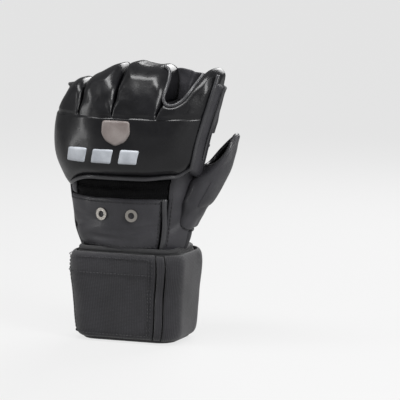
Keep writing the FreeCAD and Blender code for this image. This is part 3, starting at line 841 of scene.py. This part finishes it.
for name, (shape, inside_point) in LOBES.items():
    first, last = shape[0], shape[-1]
    low_edge = [(between(last[0], first[0], t), SEWN) for t in (0.25, 0.5, 0.75)]
    outline = curve_through(shape + low_edge + [(first[0] - 0.6, SEWN)], 140, closed=True)
    outline[:, 1] = np.maximum(outline[:, 1], SEWN)
    lobe = patch(name + "_lobe", outline, inside_point, lobe_front, lobe_back, lobe_edge, [GLOSS, LINING],
                 bound=SEWN + 2.6, rings=22, rough=0.9)
    stands(lobe, "hand", "gloss_leather", name + "_cover", name + "_foam", blend=finger_blend(name))

# the folded web behind the wide slot between the middle and index fingers
u, v = spread(40, 34)
across = between(33, 63, u)
crown = 222.5 - 5.5 * u - 5 * (2 * u - 1) ** 4
deep = -10.5 - 6.0 * np.exp(-((u - 0.42 - 0.25 * v) / 0.1) ** 2) * smooth(v * 2) + 3.0 * (2 * u - 1) ** 2
points = np.stack([across + 5.0 * v * u, deep + 4.0 * v, between(183.0, crown, v)], -1)
gusset = cloth("slot_gusset", ripple(points, 8.0, 1.0, 51.0), 1.6, PANEL)
stands(gusset, "hand", "panel_leather", blend=finger_blend("middle"))

rim_left = curve_through([(34, 223.6), (38.6, 220.6), (40.8, 214), (41.2, 206), (40.6, 199.5),
                          (42, 196.2)], 50)
rim_right = curve_through([(41.8, 196.4), (44.6, 194.4), (49, 194.2), (54.5, 197.2), (59.4, 203.4),
                           (63.2, 211), (66.6, 218.4)], 60)
for name, path in (("middle", rim_left), ("index", rim_right)):
    sunk = 0.75 * lobe_edge(path[:, 0], path[:, 1]) - 1.6
    points = np.column_stack([path[:, 0], pad_front(path[:, 0], path[:, 1]) + sunk, path[:, 1]])
    stands(tube(name + "_slot_piping", points, 1.5, PIPING), "hand", "binding", blend=finger_blend(name))

LOOP_WIDE = {"pinky": 13.4, "ring": 14.6, "middle": 15.6, "index": 13.6}
LOOP_LOW, LOOP_TOP, LOOP_DEEP = -15.0, 21.5, 13.4


def loop_at(name, turn, height, inward=0.0):
    """A point of a finger's strap: a band with blunt corners that spreads where it meets the palm."""
    c, s = np.cos(turn), np.sin(turn)
    spread_out = 1 + 0.13 * (1 - smooth((height - LOOP_LOW) / 26))
    wide = (LOOP_WIDE[name] - inward) * spread_out
    return finger_point(name, wide * np.sign(c) * np.abs(c) ** 0.78,
                        5.0 + (LOOP_DEEP - inward) * np.sign(s) * np.abs(s) ** 0.78,
                        height + 1.6 * s * smooth((height + 5) / 20))


for number, name in enumerate(FINGERS):
    u, v = spread(73, 24)
    u, v = u[:-1], v[:-1]
    turn, height = u * 2 * math.pi, between(LOOP_LOW, LOOP_TOP, v)
    crown = 1.3 * np.exp(-((v - 0.55) / 0.3) ** 2) * np.clip(np.sin(turn), 0, 1)
    points = ripple(loop_at(name, turn, height, -crown), 11.0, 1.3, 31.0 + number, closed=True)
    loop = cloth(name + "_loop", points, 2.2, PALM, closed=True)
    stands(loop, "hand", "palm_leather", name + "_sleeve", blend=finger_blend(name))
    ring = loop_at(name, np.linspace(0, 2 * math.pi, 72, endpoint=False), np.full(72, LOOP_TOP), 0.9)
    roll = tube(name + "_rim", ring, 1.5, BINDING, closed=True)
    stands(roll, "hand", "binding", name + "_binding", blend=finger_blend(name))

count_x, count_y = 84, 34
across = np.linspace(-57, 67, count_x)
deep = np.linspace(-22, 23, count_y)
x, y = np.meshgrid(across, deep, indexing="ij")
dip = sum(np.exp(-((x - FINGERS[f][0]) / 9.0) ** 2 - ((y - 4) / 9.0) ** 2) for f in FINGERS)
outward = np.clip((x - 5) ** 2 / 3600 + y ** 2 / 480, 0, 1.2)
web_points = np.stack([x, y, 184.6 - 2.0 * dip - 3.0 * outward ** 4], -1)


def off_web(i, j):
    x, y = web_points[i:i + 2, j:j + 2].mean((0, 1))[:2]
    beyond = ((x - 5) / 59.5) ** 2 + (y / 21.6) ** 2 > 1
    in_hole = any(((x - FINGERS[f][0]) / 8.6) ** 2 + ((y - 4) / 9.5) ** 2 < 1 for f in FINGERS)
    return beyond or in_hole


faces, flat = grid_faces(web_points, False, off_web)
finger_web = piece("finger_web", web_points.reshape(-1, 3), faces, [MESH], flat)
finger_web = settle(finger_web, ("SOLIDIFY", {"thickness": 1.2 * MM, "offset": -1.0}))
stands(finger_web, "hand", "mesh", "finger_web")

# ---- thumb ----

# share of the way, left x, left z, right x, right z, half depth, middle y
THUMB = ((0.0, 40, 98, 47, 91, 13, 4), (0.2, 43, 109, 56, 106, 15, 3), (0.4, 46, 119, 64.5, 118, 16, 3),
         (0.6, 50, 128, 72.5, 131.5, 16, 3.5), (0.8, 55, 135.5, 79.5, 148, 15.5, 4),
         (1.0, 59.5, 142, 85.5, 168, 14.5, 4.5))
THUMB_BLEND = ("thumb", (50, 8, 100), (64, 8, 132))


def thumb_at(turn, share, out=0.0):
    turn, share, out = np.broadcast_arrays(np.radians(turn), share, out)
    row = along(THUMB, share)
    middle_x, middle_z = (row[..., 0] + row[..., 2]) / 2, (row[..., 1] + row[..., 3]) / 2
    half_x, half_z = (row[..., 2] - row[..., 0]) / 2, (row[..., 3] - row[..., 1]) / 2
    size = np.hypot(half_x, half_z)
    blunt = np.sign(np.cos(turn)) * np.abs(np.cos(turn)) ** 0.82
    grow = (1 + out / size) * blunt
    near = np.clip(-np.sin(turn), 0, 1) ** 2 * smooth((share - 0.6) / 0.4)
    far = np.clip(np.sin(turn), 0, 1) ** 2 * smooth((share - 0.6) / 0.4)
    return np.stack([middle_x + half_x * grow + 5.5 * near - 2.0 * far,
                     row[..., 5] + (row[..., 4] + out) * np.sin(turn),
                     middle_z + half_z * grow - 5.5 * near + 2.0 * far], -1)


SLEEVE_ROUND, SLEEVE_ROWS = 88, 42


def thumb_hole(i, j):
    """Whether a face of the sleeve, counted backwards round it, is in the opening to the hand."""
    turn = 360 * (SLEEVE_ROUND - 1 - i + 0.5) / SLEEVE_ROUND
    return 52 < turn < 176 and (j + 0.5) / (SLEEVE_ROWS - 1) < 0.62


u, v = spread(SLEEVE_ROUND + 1, SLEEVE_ROWS)
u, v = u[:-1], v[:-1]
points = ripple(thumb_at(360 * u, v), 12.0, 1.3, 41.0, closed=True)
sleeve = cloth("thumb_sleeve", points[::-1], 1.8, PANEL, closed=True, skip=thumb_hole)
stands(sleeve, "hand", "panel_leather", "thumb_sleeve", blend=THUMB_BLEND)
points = ripple(thumb_at(360 * u, 0.98 * v, -2.4), 12.0, 0.6, 43.0, closed=True)
inside = cloth("thumb_lining", points[::-1], 1.0, LINING, closed=True, skip=thumb_hole)
stands(inside, "hand", "lining", "thumb_lining", blend=THUMB_BLEND)
ring = thumb_at(np.linspace(0, 360, 80, endpoint=False), 1.0, -0.8)
stands(tube("thumb_rim", ring, 1.8, PIPING, closed=True), "hand", "binding", "thumb_binding",
       blend=THUMB_BLEND)
u, v = spread(40, 50)
turn, share = between(62, -58, u), between(0.24, 0.95, v)
front = ripple(thumb_at(turn, share, 3.4), 15.0, 0.8, 44.0)
back = thumb_at(turn, share, 0.4)
puff = round_off(np.minimum(u, 1 - u) * 38, 8.0) * round_off(np.minimum(v, 1 - v) * 62, 8.0)
guard = pillow("thumb_guard", front, back, puff, [PANEL])
stands(guard, "hand", "panel_leather", "thumb_guard", blend=THUMB_BLEND)

# ---- stitching ----

rows = [np.array([hand_at(a, z, 0.25) for a in np.linspace(184, 309, 70)]) for z in (113.0, 77.5)]
rows += [np.array([hand_at(a, z, 0.2) for z in np.linspace(78, 112, 30)]) for a in (309.3, 183.0)]
rows += [np.array([hand_at(321.0, z, 1.0) for z in np.linspace(78, 128, 40)])]
rows += [np.array([hand_at(a, z, 1.7) for a in np.linspace(70, 186, 70)]) for z in (165.0, 180.5)]
rows += [np.array([hand_at(68.5, z, 1.8) for z in np.linspace(94, 156, 50)])]
rows += [np.array([hand_at(a, 162.0, 1.9) for a in np.linspace(-6, 60, 40)])]
stands(stitches("hand_stitches", rows), "hand", "binding")

grip_line = np.array([(x, float(palm_face(x, z, 4.1)), z) for x, z in
                      np.array(TONGUE_MIDDLE) + (tongue - np.array(TONGUE_MIDDLE)) * 0.86])
cuff_lines = [np.array([cuff_at(gone, z, -1.1) for gone in np.linspace(TURNS[4], WRAP_END - 4, 110)])
              for z in (6.2, 56.0, 68.6)]
cuff_lines += [np.array([cuff_at(gone, z, -1.1) for z in np.linspace(6, 69, 50)])
               for gone in (WRAP_END - 3, WRAP_END - 5.4, TURNS[6] + 12)]
stands(stitches("palm_stitches", [grip_line]), "hand", "palm_leather")
stands(stitches("cuff_stitches", cuff_lines, pitch=3.0, length=2.2, radius=0.38), "hand", "band")

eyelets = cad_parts["vent_eyelets"]
eyelets.data.materials.clear()
eyelets.data.materials.append(EYELET)

# ---- studio ----


def seen_and_lit(tree, socket, seen, lit):
    """One strength for what the camera sees and another for the light on the glove."""
    ray, level = (tree.nodes.new("ShaderNode" + kind) for kind in ("LightPath", "MapRange"))
    level.inputs["To Min"].default_value = lit
    level.inputs["To Max"].default_value = seen
    tree.links.new(ray.outputs["Is Camera Ray"], level.inputs["Value"])
    tree.links.new(level.outputs["Result"], socket)


scene = bpy.context.scene
scene.view_settings.view_transform = "Standard"
world = bpy.data.worlds.new("studio")
scene.world = world
world.use_nodes = True
sky = world.node_tree.nodes["Background"]
sky.inputs["Color"].default_value = (0.85, 0.85, 0.85, 1)
seen_and_lit(world.node_tree, sky.inputs["Strength"], 1.0, 0.18)

bpy.ops.mesh.primitive_plane_add(size=14, location=(0, 0, -0.0004))
floor = bpy.context.object
floor.name = "floor"
paint, floor_tree, floor_shader = nodes_of("floor_paint")
floor_shader.inputs["Base Color"].default_value = (0.12, 0.12, 0.12, 1)
floor_shader.inputs["Emission Color"].default_value = (1, 1, 1, 1)
seen_and_lit(floor_tree, floor_shader.inputs["Emission Strength"], 0.74, 0.3)
floor_shader.inputs["Roughness"].default_value = 0.9
floor.data.materials.append(paint)


def lamp(name, place, target, size, power):
    data = bpy.data.lights.new(name, "AREA")
    data.shape = "RECTANGLE"
    data.size, data.size_y = size
    data.energy = power
    made = bpy.data.objects.new(name, data)
    scene.collection.objects.link(made)
    made.location = place
    made.rotation_euler = (Vector(target) - Vector(place)).to_track_quat("-Z", "Y").to_euler()
    return made


lamp("key", (0.8, -0.45, 0.6), (0.02, 0, 0.12), (0.3, 0.6), 5.5)
lamp("top", (-0.1, -0.3, 0.95), (0, 0, 0.15), (0.7, 0.25), 5)
lamp("left", (-0.8, -0.5, 0.35), (0, 0, 0.12), (0.12, 0.8), 1.6)
lamp("back", (0.1, 0.9, 0.7), (0, 0, 0.12), (0.8, 0.5), 6)

AZIMUTH, ELEVATION, DISTANCE, FRAME_WIDTH = math.radians(22), math.radians(8), 2.4, 0.32
target = Vector((0.0557, 0, 0.1146))
camera_data = bpy.data.cameras.new("camera")
camera_data.sensor_width = 36
camera_data.lens = 36 * DISTANCE / FRAME_WIDTH
camera_data.clip_end = 30
camera = bpy.data.objects.new("camera", camera_data)
scene.collection.objects.link(camera)
away = Vector((math.sin(AZIMUTH) * math.cos(ELEVATION), -math.cos(AZIMUTH) * math.cos(ELEVATION),
               math.sin(ELEVATION)))
camera.location = target + away * DISTANCE
camera.rotation_euler = (-away).to_track_quat("-Z", "Y").to_euler()
scene.camera = camera
